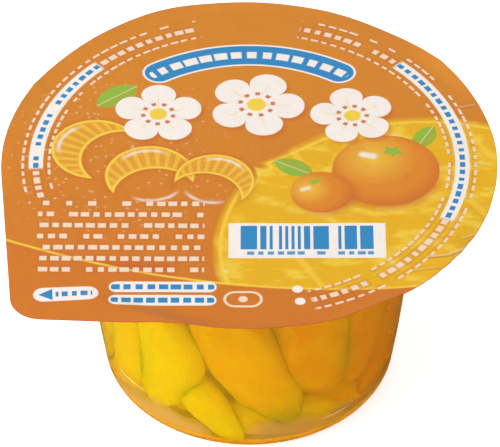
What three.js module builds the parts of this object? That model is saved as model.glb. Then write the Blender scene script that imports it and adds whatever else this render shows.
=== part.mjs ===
// Sealed cup of fruit jelly: a clear cup with a flared shoulder, the jelly in it and a peel-off lid film.
// Millimetres, +Z up. The origin is the centre of the foot, and the lid's peel tab points to -X -Y.
import * as THREE from "three";

// Heights above the surface that the cup stands on
const TOTAL_HEIGHT = 53.4;
const FILM_THICKNESS = 0.4;
const SEAL_GAP = 0.3;
const FLANGE_THICKNESS = 1.0;
const SHOULDER_TOP = 48.5;
const SHOULDER_FOOT = 40.5;
const WALL_BEND = 19.2;
const HEADSPACE = 1.3;

// Radii and slopes of the cup
const FLANGE_RADIUS = 47.0;
const THROAT_RADIUS = 43.0;
const WALL_TOP_RADIUS = 34.1;
const WALL_TAPER = Math.atan(0.107);
const WALL_SWEEP_RADIUS = 359;
const CORNER_RADIUS = 4.2;
const SHOULDER_SOFTNESS = 4.2;
const WALL_THICKNESS = 0.7;
const FLANGE_EDGE_RADIUS = 0.25;

// Recess under the base, inside the ring that the cup stands on
const RECESS_RADIUS = 21.5;
const RECESS_DEPTH = 1.2;
const RECESS_SLOPE = 1.5;

// Lid film: a circle with one rounded peel tab between two straight sides that lean inwards
const LID_RADIUS = 50;
const TAB_DIRECTION = THREE.MathUtils.degToRad(225);
const TAB_LEAN = THREE.MathUtils.degToRad(4.5);
const TAB_CORNER_RADIUS = 6.5;

// Clearances of the jelly to the wall and of the rim to the body below it, and the fineness of the facets
const JELLY_GAP = 0.3;
const RIM_GAP = 0.3;
const TURN_STEPS = 64;
const LID_ARC_STEPS = 62;
const TAB_ARC_STEPS = 12;

const FLANGE_TOP = TOTAL_HEIGHT - FILM_THICKNESS - SEAL_GAP;
const FLANGE_UNDERSIDE = FLANGE_TOP - FLANGE_THICKNESS;
const JELLY_LEVEL = FLANGE_TOP - HEADSPACE;

// Points of an arc about (x, y), from one angle to another.
function arcPoints(x, y, radius, startAngle, endAngle, steps) {
  const clockwise = endAngle < startAngle;
  return new THREE.EllipseCurve(x, y, radius, radius, startAngle, endAngle, clockwise).getPoints(steps);
}

// The body's outer skin as (radius, height) points, from the axis under the base up to the rim.
// The wall is a straight cone that sweeps into the corner along one wide arc.
function bodySkin() {
  const bendRadius = WALL_TOP_RADIUS - (SHOULDER_FOOT - WALL_BEND) * Math.tan(WALL_TAPER);
  const sweepX = bendRadius - WALL_SWEEP_RADIUS * Math.cos(WALL_TAPER);
  const sweepY = WALL_BEND + WALL_SWEEP_RADIUS * Math.sin(WALL_TAPER);
  const cornerReach = WALL_SWEEP_RADIUS - CORNER_RADIUS;
  const cornerAngle = Math.asin((CORNER_RADIUS - sweepY) / cornerReach);
  const cornerX = sweepX + cornerReach * Math.cos(cornerAngle);

  const recess = [
    new THREE.Vector2(0, RECESS_DEPTH),
    new THREE.Vector2(RECESS_RADIUS - RECESS_SLOPE, RECESS_DEPTH),
    new THREE.Vector2(RECESS_RADIUS, 0),
  ];
  const corner = arcPoints(cornerX, CORNER_RADIUS, CORNER_RADIUS, -Math.PI / 2, cornerAngle, 6);
  const sweep = arcPoints(sweepX, sweepY, WALL_SWEEP_RADIUS, cornerAngle, -WALL_TAPER, 4).slice(1);
  const wallTop = new THREE.Vector2(
    WALL_TOP_RADIUS - RIM_GAP * Math.sin(WALL_TAPER),
    SHOULDER_FOOT - RIM_GAP * Math.cos(WALL_TAPER),
  );
  return [...recess, ...corner, ...sweep, wallTop];
}

// The rim's outer skin: a rounded shoulder that carries on from the wall, and the upright throat.
function rimSkin() {
  const shoulderStart = new THREE.Vector2(WALL_TOP_RADIUS, SHOULDER_FOOT);
  const alongWall = new THREE.Vector2(Math.sin(WALL_TAPER), Math.cos(WALL_TAPER));
  const shoulder = new THREE.CubicBezierCurve(
    shoulderStart,
    shoulderStart.clone().addScaledVector(alongWall, SHOULDER_SOFTNESS),
    new THREE.Vector2(THROAT_RADIUS, SHOULDER_TOP - SHOULDER_SOFTNESS),
    new THREE.Vector2(THROAT_RADIUS, SHOULDER_TOP),
  ).getPoints(9);
  return [...shoulder, new THREE.Vector2(THROAT_RADIUS, FLANGE_UNDERSIDE)];
}

// The skin moved inwards by a distance, square to the line between each point's neighbours.
function insetSkin(skin, distance) {
  return skin.map((point, i) => {
    const before = skin[Math.max(i - 1, 0)];
    const after = skin[Math.min(i + 1, skin.length - 1)];
    const along = after.clone().sub(before).normalize();
    return new THREE.Vector2(point.x - along.y * distance, point.y + along.x * distance);
  });
}

// A closed (radius, height) profile turned about +Z.
function turned(profile) {
  return new THREE.LatheGeometry(profile, TURN_STEPS).rotateX(Math.PI / 2);
}

function clearPlastic() {
  return new THREE.MeshStandardMaterial({ color: 0xf3c77a, roughness: 0.18, metalness: 0 });
}

function cup() {
  const skin = bodySkin();
  const innerSkin = insetSkin(skin, WALL_THICKNESS).reverse();
  const mesh = new THREE.Mesh(turned([...skin, ...innerSkin]), clearPlastic());
  mesh.name = "cup";
  return mesh;
}

function cupRim() {
  const skin = rimSkin();
  const innerSkin = insetSkin(skin, WALL_THICKNESS).slice(0, -1).reverse();
  const edgeX = FLANGE_RADIUS - FLANGE_EDGE_RADIUS;
  const flange = [
    new THREE.Vector2(edgeX, FLANGE_UNDERSIDE),
    new THREE.Vector2(FLANGE_RADIUS, FLANGE_UNDERSIDE + FLANGE_EDGE_RADIUS),
    new THREE.Vector2(FLANGE_RADIUS, FLANGE_TOP - FLANGE_EDGE_RADIUS),
    new THREE.Vector2(edgeX, FLANGE_TOP),
    new THREE.Vector2(THROAT_RADIUS - WALL_THICKNESS, FLANGE_TOP),
  ];
  const profile = [...skin, ...flange, ...innerSkin, skin[0].clone()];
  const mesh = new THREE.Mesh(turned(profile), clearPlastic());
  mesh.name = "cup_rim";
  return mesh;
}

function jelly() {
  const skin = [...bodySkin(), ...rimSkin()];
  const innerSkin = insetSkin(skin, WALL_THICKNESS + JELLY_GAP).slice(0, -1);
  const surfaceEdge = new THREE.Vector2(THROAT_RADIUS - WALL_THICKNESS - JELLY_GAP, JELLY_LEVEL);
  const surfaceCentre = new THREE.Vector2(0, JELLY_LEVEL);
  const setJelly = new THREE.MeshStandardMaterial({ color: 0xe6a30c, roughness: 0.25, metalness: 0 });
  const mesh = new THREE.Mesh(turned([...innerSkin, surfaceEdge, surfaceCentre]), setJelly);
  mesh.name = "jelly";
  return mesh;
}

function lidOutline() {
  const halfTab = Math.PI / 4 - TAB_LEAN;
  const sharpCorner = LID_RADIUS / Math.cos(halfTab);
  const cornerCentre = sharpCorner - TAB_CORNER_RADIUS / Math.cos(halfTab);
  const circleStart = TAB_DIRECTION + halfTab - 2 * Math.PI;
  const circle = arcPoints(0, 0, LID_RADIUS, circleStart, TAB_DIRECTION - halfTab, LID_ARC_STEPS);
  const corner = arcPoints(
    cornerCentre * Math.cos(TAB_DIRECTION),
    cornerCentre * Math.sin(TAB_DIRECTION),
    TAB_CORNER_RADIUS,
    TAB_DIRECTION - halfTab,
    TAB_DIRECTION + halfTab,
    TAB_ARC_STEPS,
  );
  return new THREE.Shape([...circle, ...corner]);
}

function lidFilm() {
  const film = new THREE.ExtrudeGeometry(lidOutline(), { depth: FILM_THICKNESS, bevelEnabled: false });
  const printedFilm = new THREE.MeshStandardMaterial({ color: 0xd8863a, roughness: 0.4, metalness: 0 });
  const mesh = new THREE.Mesh(film, printedFilm);
  mesh.name = "lid_film";
  mesh.position.z = TOTAL_HEIGHT - FILM_THICKNESS;
  return mesh;
}

const group = new THREE.Group();
group.add(cup(), cupRim(), jelly(), lidFilm());

export default group;
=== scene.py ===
import math
from functools import partialmethod

import bpy
import numpy as np
from mathutils import Matrix, Vector


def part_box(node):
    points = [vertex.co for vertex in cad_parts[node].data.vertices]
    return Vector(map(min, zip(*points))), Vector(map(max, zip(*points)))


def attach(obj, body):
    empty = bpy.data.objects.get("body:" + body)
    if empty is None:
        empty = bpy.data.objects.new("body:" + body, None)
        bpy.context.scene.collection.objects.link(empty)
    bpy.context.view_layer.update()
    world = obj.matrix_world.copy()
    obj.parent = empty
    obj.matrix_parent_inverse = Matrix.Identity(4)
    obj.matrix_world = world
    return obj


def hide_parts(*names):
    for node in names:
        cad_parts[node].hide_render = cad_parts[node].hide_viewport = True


bl_info = {
    "name": "Sealed Fruit Jelly Cup",
    "version": (1, 0, 0),
    "blender": (4, 5, 0),
    "location": "View3D > Sidebar > Jelly Cup",
    "description": "Builds a sealed cup of mandarin jelly: cup, jelly, fruit, printed lid film and studio",
    "category": "Add Mesh",
}

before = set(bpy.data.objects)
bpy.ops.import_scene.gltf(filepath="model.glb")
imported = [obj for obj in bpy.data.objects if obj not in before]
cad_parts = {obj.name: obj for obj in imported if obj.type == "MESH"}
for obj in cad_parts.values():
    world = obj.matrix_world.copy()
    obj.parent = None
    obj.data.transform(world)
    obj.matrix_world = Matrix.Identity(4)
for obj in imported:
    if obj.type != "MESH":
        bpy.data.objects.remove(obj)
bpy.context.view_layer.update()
MM = 0.001


# Sizes, colours and settings


def length_property(name, description, millimetres):
    """A length in metres, given here in millimetres."""
    return bpy.props.FloatProperty(
        name=name, description=description, default=millimetres * MM, unit="LENGTH", precision=5
    )


def angle_property(name, description, degrees):
    """An angle, given here in degrees."""
    angle = math.radians(degrees)
    return bpy.props.FloatProperty(name=name, description=description, default=angle, subtype="ANGLE")


def colour_property(name, description, red, green, blue):
    """A colour given as three display values from 0 to 255, kept as linear light."""
    return bpy.props.FloatVectorProperty(
        name=name,
        description=description,
        default=display_colour(red, green, blue),
        subtype="COLOR",
        size=3,
        min=0.0,
        max=1.0,
    )


def display_colour(red, green, blue):
    """Linear light from display values between 0 and 255."""
    shares = (value / 255 for value in (red, green, blue))
    return tuple(s / 12.92 if s <= 0.04045 else ((s + 0.055) / 1.055) ** 2.4 for s in shares)


def top_of(node):
    """The highest point of a CAD node, in millimetres."""
    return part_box(node)[1].z / MM


def reach_of(node):
    """How far a CAD node reaches along +X, in millimetres."""
    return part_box(node)[1].x / MM


class CupSizes(bpy.types.PropertyGroup):
    """The clear cup's own sizes"""

    flange_radius: length_property("Flange radius", "Outer edge of the flat flange", reach_of("cup_rim"))
    flange_top: length_property("Flange top", "Height of the sealing face", top_of("cup_rim"))
    flange_thickness: length_property("Flange thickness", "Thickness of the flat flange", 1.0)
    throat_radius: length_property("Throat radius", "Outside of the upright throat", 43.0)
    shoulder_top: length_property("Shoulder top", "Height where the shoulder meets the throat", 48.5)
    shoulder_foot: length_property("Shoulder foot", "Height where the wall turns into the shoulder", 40.5)
    shoulder_softness: length_property("Shoulder softness", "Reach of the shoulder's curve", 4.2)
    wall_top_radius: length_property("Wall top radius", "Outside of the wall under the shoulder", 34.1)
    wall_bend: length_property("Wall bend", "Height where the straight wall starts to sweep in", 19.2)
    wall_sweep: length_property("Wall sweep", "Radius of the wide arc in the lower wall", 359.0)
    corner_radius: length_property("Corner radius", "Round between wall and foot", 4.2)
    wall_thickness: length_property("Wall thickness", "Thickness of the clear plastic", 0.7)
    recess_radius: length_property("Recess radius", "Inside of the ring that the cup stands on", 21.5)
    recess_depth: length_property("Recess depth", "Depth of the shallow recess under the base", 1.2)
    wall_taper: angle_property("Wall taper", "Slope of the straight wall", math.degrees(math.atan(0.107)))
    turn_steps: bpy.props.IntProperty(
        name="Turn steps", description="Faces round the cup", default=160, min=24
    )


class JellySettings(bpy.types.PropertyGroup):
    """The jelly and the fruit sunk in it"""

    fill_level: length_property("Fill level", "Height of the jelly's surface", top_of("jelly"))
    meniscus: length_property("Meniscus", "How far the surface climbs at the wall", 0.35)
    colour: colour_property("Jelly colour", "Amber of the set jelly", 255, 226, 12)
    # The foot tones, lit and shaded, paint a pale reflection low in the front corner as milky jelly
    foot_reflection_colour: colour_property("Foot colour", "Milky tone of the jelly low by the wall", 240, 204, 112)
    foot_shade: colour_property("Foot shade", "The same on the side away from the light", 212, 176, 98)
    # Painted shade: a deeper amber low in the corner
    corner_colour: colour_property("Corner colour", "Deeper amber in the corner", 208, 172, 12)
    depth_colour: colour_property("Depth colour", "What deep jelly lets through", 255, 214, 40)
    segment_length: length_property("Segment length", "Mandarin segment from tip to tip", 34.0)
    segment_depth: length_property("Segment depth", "Mandarin segment from back to inner edge", 16.5)
    segment_width: length_property("Segment width", "Mandarin segment across its back", 15.6)
    press: length_property("Press", "How far the wall presses the soft fruit flat", 2.3)
    # Partly the fruit's own colours, partly painted light: pale segments where lit, deep orange where shaded
    pale_fruit: colour_property("Pale fruit", "Lit, pale segments", 252, 248, 8)
    deep_fruit: colour_property("Deep fruit", "Deep orange segments", 250, 118, 6)
    seed: bpy.props.IntProperty(name="Seed", description="Draw of the segments' places", default=7)


class FilmSizes(bpy.types.PropertyGroup):
    """The peel-off lid film"""

    radius: length_property("Radius", "Radius of the round lid", reach_of("lid_film"))
    thickness: length_property("Thickness", "Thickness of the film", 0.14)
    tab_corner: length_property("Tab corner", "Round of the pull tab's corner", 6.5)
    tab_direction: angle_property("Tab direction", "Where the pull tab points", 225)
    tab_lean: angle_property("Tab lean", "How far the tab's straight sides lean inwards", 4.5)
    sag: length_property("Sag", "How far the film dips over the jelly", 0.3)
    wave: length_property("Wave", "Height of the waves in the loose edge", 0.25)
    edge_lift: length_property("Edge lift", "How far the loose edge curls up at most", 1.1)


class PrintColours(bpy.types.PropertyGroup):
    """The inks of the lid's print"""

    orange: colour_property("Orange", "Main ground", 221, 137, 36)
    low_orange: colour_property("Low orange", "Ground near the front edge", 216, 122, 30)
    amber: colour_property("Amber", "Golden field", 240, 182, 14)
    gold: colour_property("Gold", "Thin bright arcs", 252, 214, 70)
    ember: colour_property("Ember", "Deep orange-red shapes", 206, 96, 36)
    cream: colour_property("Cream", "Small marks", 250, 224, 194)
    white: colour_property("White", "Blossoms and panels", 255, 245, 236)
    blue: colour_property("Blue", "Band and stripes", 45, 140, 200)
    leaf: colour_property("Leaf", "Leaves", 150, 190, 60)
    shade: colour_property("Shade", "Depth of a crease", 150, 66, 18)
    fruit: colour_property("Fruit", "Mandarins and segments", 230, 138, 34)


class StageSettings(bpy.types.PropertyGroup):
    """Camera, floor and light"""

    camera_elevation: angle_property("Camera elevation", "Angle of the view above the floor", 41.776)
    camera_distance: bpy.props.FloatProperty(
        name="Camera distance", description="From the camera to its target", default=1.134, unit="LENGTH"
    )
    camera_lens: bpy.props.FloatProperty(
        name="Camera lens", description="Focal length in millimetres on a 36 mm sensor", default=401.1
    )
    target_height: length_property("Target height", "Height that the camera looks at", 36.13)
    target_side: length_property("Target side", "Sideways place that the camera looks at", 0.165)


PROPERTY_GROUPS = {
    "jelly_cup_sizes": CupSizes,
    "jelly_cup_filling": JellySettings,
    "jelly_cup_film": FilmSizes,
    "jelly_cup_print": PrintColours,
    "jelly_cup_stage": StageSettings,
}


# Helpers for node trees, materials and pieces


class Nodes:
    """Adds nodes to a tree, each with its links and values in one call."""

    def __init__(self, tree):
        self.tree = tree

    def add(self, kind, inputs=None, **settings):
        node = self.tree.nodes.new(kind)
        for name, value in settings.items():
            setattr(node, name, value)
        return self.fill(node, inputs or {})

    def fill(self, node, inputs):
        """Gives a node links and values by the names or numbers of its inputs."""
        for key, value in inputs.items():
            self.connect(value, node.inputs[key])
        return node

    def connect(self, value, socket):
        if isinstance(value, Field):
            value = value.socket
        if isinstance(value, bpy.types.NodeSocket):
            self.tree.links.new(value, socket)
        else:
            socket.default_value = value

    def field(self, kind, inputs=None, output=0, **settings):
        """Adds a node and returns one of its outputs as a number to reckon with."""
        return Field(self, self.add(kind, inputs, **settings).outputs[output])

    def vector(self, x, y, z):
        return self.add("ShaderNodeCombineXYZ", {0: x, 1: y, 2: z}).outputs[0]

    def split(self, vector):
        node = self.add("ShaderNodeSeparateXYZ", {0: vector})
        return [Field(self, socket) for socket in node.outputs]


class Field:
    """A number that varies over a shape. Arithmetic on it adds Math nodes to its tree."""

    def __init__(self, nodes, socket):
        self.nodes = nodes
        self.socket = socket

    def math(self, operation, *others, clamp=False):
        inputs = {i: value for i, value in enumerate((self, *others))}
        node = self.nodes.add("ShaderNodeMath", inputs, operation=operation, use_clamp=clamp)
        return Field(self.nodes, node.outputs[0])

    def part_of(self, whole):
        """This over a whole, kept between 0 and 1."""
        return self.math("DIVIDE", whole, clamp=True)

    def __rsub__(self, other):
        return self.math("MULTIPLY_ADD", -1.0, other)

    def __neg__(self):
        return self.math("MULTIPLY", -1.0)

    __add__ = partialmethod(math, "ADD")
    __sub__ = partialmethod(math, "SUBTRACT")
    __mul__ = partialmethod(math, "MULTIPLY")
    __truediv__ = partialmethod(math, "DIVIDE")
    __pow__ = partialmethod(math, "POWER")
    __abs__ = partialmethod(math, "ABSOLUTE")
    sine = partialmethod(math, "SINE")
    cosine = partialmethod(math, "COSINE")
    root = partialmethod(math, "SQRT")
    floor = partialmethod(math, "FLOOR")
    fraction = partialmethod(math, "FRACT")
    angle_to = partialmethod(math, "ARCTAN2")
    most = partialmethod(math, "MAXIMUM")
    below = partialmethod(math, "LESS_THAN")
    above = partialmethod(math, "GREATER_THAN")


def filling():
    return bpy.context.scene.jelly_cup_filling


def cup_sizes():
    return bpy.context.scene.jelly_cup_sizes


def film_sizes():
    return bpy.context.scene.jelly_cup_film


def inks():
    return bpy.context.scene.jelly_cup_print


def new_piece(name, mesh, materials=()):
    """Links a mesh as a piece of the pack, at the origin."""
    piece = bpy.data.objects.new(name, mesh)
    bpy.context.scene.collection.objects.link(piece)
    for material in materials:
        mesh.materials.append(material)
    return piece


def mesh_from(name, points, faces=(), edges=()):
    mesh = bpy.data.meshes.new(name)
    mesh.from_pydata([tuple(p) for p in points], [tuple(e) for e in edges], [tuple(f) for f in faces])
    mesh.update()
    return mesh


def shader_material(name):
    """A new material with one Principled shader. Returns the material, its node helper and the shader."""
    material = bpy.data.materials.new(name)
    material.use_nodes = True
    tree = material.node_tree
    tree.nodes.clear()
    nodes = Nodes(tree)
    shader = nodes.add("ShaderNodeBsdfPrincipled")
    nodes.add("ShaderNodeOutputMaterial", {"Surface": shader.outputs[0]}, name="Output")
    return material, nodes, shader


def object_millimetres(nodes):
    """Object coordinates in millimetres."""
    place = nodes.add("ShaderNodeTexCoord").outputs["Object"]
    return nodes.add("ShaderNodeVectorMath", {0: place, 3: 1 / MM}, operation="SCALE").outputs[0]


def noise(nodes, place, scale, detail=2.0, roughness=0.5, stretch=None):
    """A cloud pattern between 0 and 1."""
    if stretch:
        stretched = nodes.add("ShaderNodeVectorMath", {0: place, 1: stretch}, operation="MULTIPLY")
        place = stretched.outputs[0]
    settings = {"Vector": place, "Scale": scale, "Detail": detail, "Roughness": roughness}
    return nodes.field("ShaderNodeTexNoise", settings, noise_dimensions="3D")


def mix_colours(nodes, share, below, above):
    """The colour below, covered by the colour above where share is 1."""
    colours = (c if isinstance(c, bpy.types.NodeSocket) else (*c, 1.0) for c in (below, above))
    inputs = dict(zip((0, 6, 7), (share, *colours)))
    return nodes.add("ShaderNodeMix", inputs, data_type="RGBA").outputs[2]


def bumped(nodes, height, strength, distance):
    settings = {"Height": height, "Strength": strength, "Distance": distance}
    return nodes.add("ShaderNodeBump", settings).outputs[0]


def new_geometry_tree(name, inputs):
    """A Geometry Nodes tree with a geometry in and out, and inputs given as name: (socket, default)."""
    tree = bpy.data.node_groups.new(name, "GeometryNodeTree")
    tree.interface.new_socket("Geometry", in_out="INPUT", socket_type="NodeSocketGeometry")
    tree.interface.new_socket("Geometry", in_out="OUTPUT", socket_type="NodeSocketGeometry")
    for label, (kind, default) in inputs.items():
        socket = tree.interface.new_socket(label, in_out="INPUT", socket_type=kind)
        if default is not None:
            socket.default_value = default
    nodes = Nodes(tree)
    return tree, nodes, nodes.add("NodeGroupInput")


def close_tree(nodes, geometry, material):
    """Ends a tree with Realize Instances and Set Material."""
    real = nodes.add("GeometryNodeRealizeInstances", {0: geometry})
    finished = nodes.add("GeometryNodeSetMaterial", {"Geometry": real.outputs[0], "Material": material})
    nodes.add("NodeGroupOutput", {0: finished.outputs[0]})


def grown_piece(name, start_mesh, tree, values):
    """Runs a tree on a start mesh and keeps the result as one plain mesh piece."""
    piece = new_piece(name, start_mesh)
    modifier = piece.modifiers.new("Grow", "NODES")
    modifier.node_group = tree
    for socket in tree.interface.items_tree:
        if socket.in_out == "INPUT" and socket.name in values:
            modifier[socket.identifier] = values[socket.name]
    bpy.context.view_layer.update()
    graph = bpy.context.evaluated_depsgraph_get()
    mesh = bpy.data.meshes.new_from_object(piece.evaluated_get(graph), depsgraph=graph)
    if not mesh.polygons:
        raise RuntimeError(f"{name} came out empty")
    piece.modifiers.remove(modifier)
    mesh.name = name
    piece.data = mesh
    bpy.data.meshes.remove(start_mesh)
    return piece


def ride_pack(piece):
    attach(piece, "root")


# Turned shapes: the cup and the jelly


def arc(x, y, radius, start, end, steps):
    angles = np.linspace(start, end, steps + 1)
    return np.column_stack([x + radius * np.cos(angles), y + radius * np.sin(angles)])


def bezier(a, b, c, d, steps):
    t = np.linspace(0, 1, steps + 1)[:, None]
    return (1 - t) ** 3 * a + 3 * t * (1 - t) ** 2 * b + 3 * t**2 * (1 - t) * c + t**3 * d


# Rows of the outer skin that lie under the base, before the corner between foot and wall
BASE_ROWS = 12
FOOT_ROWS = BASE_ROWS + 9


def outer_skin(s):
    """The cup's outer skin as (radius, height) rows, from the axis under the base to the throat's top."""
    taper = s.wall_taper
    bend_radius = s.wall_top_radius - (s.shoulder_foot - s.wall_bend) * math.tan(taper)
    sweep_x = bend_radius - s.wall_sweep * math.cos(taper)
    sweep_y = s.wall_bend + s.wall_sweep * math.sin(taper)
    reach = s.wall_sweep - s.corner_radius
    corner_angle = math.asin((s.corner_radius - sweep_y) / reach)
    corner_x = sweep_x + reach * math.cos(corner_angle)
    # The recess meets the standing ring in an S curve, about twice this wide
    slope = s.recess_depth * 2.2
    base = np.linspace(0, s.recess_radius - 2 * slope, BASE_ROWS)
    base = np.column_stack([base, np.full(BASE_ROWS, s.recess_depth)])
    recess = bezier(
        np.array([s.recess_radius - slope * 1.6, s.recess_depth]),
        np.array([s.recess_radius - slope * 0.8, s.recess_depth]),
        np.array([s.recess_radius - slope * 0.3, 0.0]),
        np.array([s.recess_radius + slope * 0.4, 0.0]),
        FOOT_ROWS - BASE_ROWS - 1,
    )
    corner = arc(corner_x, s.corner_radius, s.corner_radius, -math.pi / 2, corner_angle, 14)
    sweep = arc(sweep_x, sweep_y, s.wall_sweep, corner_angle, -taper, 10)[1:]
    foot = np.array([s.wall_top_radius, s.shoulder_foot])
    shoulder_top = np.array([s.throat_radius, s.shoulder_top])
    shoulder = bezier(
        foot,
        foot + s.shoulder_softness * np.array([math.sin(taper), math.cos(taper)]),
        shoulder_top - np.array([0, s.shoulder_softness]),
        shoulder_top,
        20,
    )
    wall = np.linspace(sweep[-1], foot, 6)[1:-1]
    throat_top = np.array([[s.throat_radius, s.flange_top - s.flange_thickness]])
    return np.vstack([base, recess, corner, sweep, wall, shoulder, throat_top])


def inset(skin, distance):
    """The skin moved inwards, square to the line between each point's neighbours."""
    before = np.vstack([skin[:1], skin[:-1]])
    after = np.vstack([skin[1:], skin[-1:]])
    along = after - before
    along /= np.linalg.norm(along, axis=1)[:, None]
    moved = skin + distance * np.column_stack([-along[:, 1], along[:, 0]])
    moved[0, 0] = 0.0
    return moved


def cup_profile(s):
    skin = outer_skin(s)
    inner = inset(skin, s.wall_thickness)[:-1][::-1]
    edge = s.flange_thickness * 0.3
    low, high = s.flange_top - s.flange_thickness, s.flange_top
    fillet = 0.6 * MM
    flange = np.vstack(
        [
            arc(s.throat_radius + fillet, low - fillet, fillet, math.pi, math.pi / 2, 4),
            arc(s.flange_radius - edge, low + edge, edge, -math.pi / 2, 0, 4),
            arc(s.flange_radius - edge, high - edge, edge, 0, math.pi / 2, 4),
            arc(s.throat_radius - s.wall_thickness + edge, high - edge, edge, math.pi / 2, math.pi, 4),
        ]
    )
    return np.vstack([skin[:-1], flange, inner])


def jelly_profile(s, j):
    """The jelly reaches half way into the wall, with a surface that climbs a little at its edge."""
    skin = inset(outer_skin(s), s.wall_thickness / 2)[:-1]
    radius = s.throat_radius - s.wall_thickness / 2
    level = j.fill_level
    climb = bezier(
        np.array([radius, level + j.meniscus]),
        np.array([radius - 0.3 * MM, level + 0.1 * MM]),
        np.array([radius - 1.0 * MM, level]),
        np.array([radius - 2.5 * MM, level]),
        8,
    )
    surface = np.column_stack([np.linspace(radius - 5 * MM, 0, 10), np.full(10, level)])
    return np.vstack([skin, climb, surface])


def turned_tree():
    """Turns a (radius, height) line about the Z axis and closes its seam and poles."""
    tree, nodes, start = new_geometry_tree(
        "Turned Shape",
        {"Turn Steps": ("NodeSocketInt", 96), "Material": ("NodeSocketMaterial", None)},
    )
    line = start.outputs["Geometry"]
    steps = Field(nodes, start.outputs["Turn Steps"])
    domain = nodes.add("GeometryNodeAttributeDomainSize", {0: line}, component="MESH")
    count = domain.outputs["Point Count"]
    across = steps + 1.0
    grid = nodes.add("GeometryNodeMeshGrid", {"Vertices X": count, "Vertices Y": across})
    index = nodes.field("GeometryNodeInputIndex")
    row = ((index + 0.5) / across).floor()
    turn = (index - row * across) / steps * math.tau
    here = nodes.add("GeometryNodeInputPosition").outputs[0]
    asked = {"Geometry": line, "Value": here, "Index": row}
    sample = nodes.add("GeometryNodeSampleIndex", asked, data_type="FLOAT_VECTOR")
    radius, _, height = nodes.split(sample.outputs[0])
    place = nodes.vector(radius * turn.cosine(), radius * turn.sine(), height)
    turned = nodes.add("GeometryNodeSetPosition", {"Geometry": grid.outputs["Mesh"], "Position": place})
    closed = nodes.add("GeometryNodeMergeByDistance", {"Geometry": turned.outputs[0], "Distance": 1e-6})
    outward = nodes.add("GeometryNodeFlipFaces", {0: closed.outputs[0]})
    rounded = nodes.add("GeometryNodeSetShadeSmooth", {0: outward.outputs[0]})
    close_tree(nodes, rounded.outputs[0], start.outputs["Material"])
    return tree


def turned_piece(name, profile, material):
    points = [(radius, 0.0, height) for radius, height in profile]
    line = mesh_from(name + "_line", points, edges=[(i, i + 1) for i in range(len(points) - 1)])
    tree = bpy.data.node_groups.get("Turned Shape") or turned_tree()
    values = {"Turn Steps": cup_sizes().turn_steps, "Material": material}
    return grown_piece(name, line, tree, values)


def clear_plastic():
    material, nodes, shader = shader_material("Clear moulded plastic")
    flow = noise(nodes, object_millimetres(nodes), 0.05, detail=1.0, stretch=(1.0, 1.0, 0.4))
    finish = {
        "Base Color": (1.0, 0.995, 0.985, 1.0),
        "Transmission Weight": 1.0,
        "IOR": 1.45,
        "Specular IOR Level": 0.35,
        "Roughness": flow * 0.05 + 0.015,
        "Normal": bumped(nodes, flow, 0.25, 0.4 * MM),
    }
    nodes.fill(shader, finish)
    return material


# The milky patches low by the front wall, which paint a pale reflection in the corner: their uneven top,
# their foot and both soft edges, in millimetres
PAINTED_HAZE_TOP, PAINTED_HAZE_UNEVENNESS, PAINTED_HAZE_TOP_EDGE = 5.5, 9.0, 4.0
PAINTED_HAZE_FOOT, PAINTED_HAZE_FOOT_EDGE = 2.2, 2.4

# The clear gap between the patches and their reach to the sides, each with its soft edge, in radians
CLEAR_AZIMUTH, CLEAR_HALF, CLEAR_EDGE = math.radians(-98), 0.09, 0.11
FRONT_AZIMUTH, FRONT_HALF, FRONT_EDGE = math.radians(-90), 1.25, 0.2

# Where along X the patches go over to their shaded tone, and the height of the deeper tone painted as shade
# in the corner
SHADE_START, SHADE_SPAN = -8.0, 12.0
CORNER_TOP, CORNER_EDGE = 4.6, 2.4

# The share of light that the jelly lets through, and what the painted reflection haze takes of it
CLEARNESS, PAINTED_HAZE_LOSS = 0.78, 0.24


def painted_reflection_haze(nodes, place, x, y, height):
    """How milky the jelly is, from 0 to 1: a painted reflection, on the front side only."""
    top = noise(nodes, place, 0.13, detail=1.0) * PAINTED_HAZE_UNEVENNESS + PAINTED_HAZE_TOP
    painted_haze = (top - height).part_of(PAINTED_HAZE_TOP_EDGE) * (height - PAINTED_HAZE_FOOT).part_of(PAINTED_HAZE_FOOT_EDGE)
    azimuth = y.angle_to(x)
    painted_haze = painted_haze * (abs(azimuth - CLEAR_AZIMUTH) - CLEAR_HALF).part_of(CLEAR_EDGE)
    return painted_haze * (FRONT_HALF - abs(azimuth - FRONT_AZIMUTH)).part_of(FRONT_EDGE)


def set_jelly():
    j = filling()
    material, nodes, shader = shader_material("Set amber jelly")
    place = object_millimetres(nodes)
    cloud = noise(nodes, place, 0.07, detail=2.0)
    tint = mix_colours(nodes, cloud, [c * 0.92 for c in j.colour], j.colour)
    x, y, height = nodes.split(place)
    # Painted reflection: paler, milky patches low at the front, lit on the left and shaded on the right
    painted_haze = painted_reflection_haze(nodes, place, x, y, height)
    veil = mix_colours(nodes, (x - SHADE_START).part_of(SHADE_SPAN), j.foot_reflection_colour, j.foot_shade)
    # Painted shade: the jelly turns a deeper amber low in the corner
    tint = mix_colours(nodes, (CORNER_TOP - height).part_of(CORNER_EDGE), tint, j.corner_colour)
    finish = {
        "Base Color": mix_colours(nodes, painted_haze, tint, veil),
        "Transmission Weight": CLEARNESS - painted_haze * PAINTED_HAZE_LOSS,
        "IOR": 1.36,
        "Roughness": 0.12,
        "Specular IOR Level": 0.3,
    }
    nodes.fill(shader, finish)
    depth = {"Color": (*j.depth_colour, 1.0), "Density": 30.0}
    absorbed = nodes.add("ShaderNodeVolumeAbsorption", depth).outputs[0]
    nodes.connect(absorbed, nodes.tree.nodes["Output"].inputs["Volume"])
    return material
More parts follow.
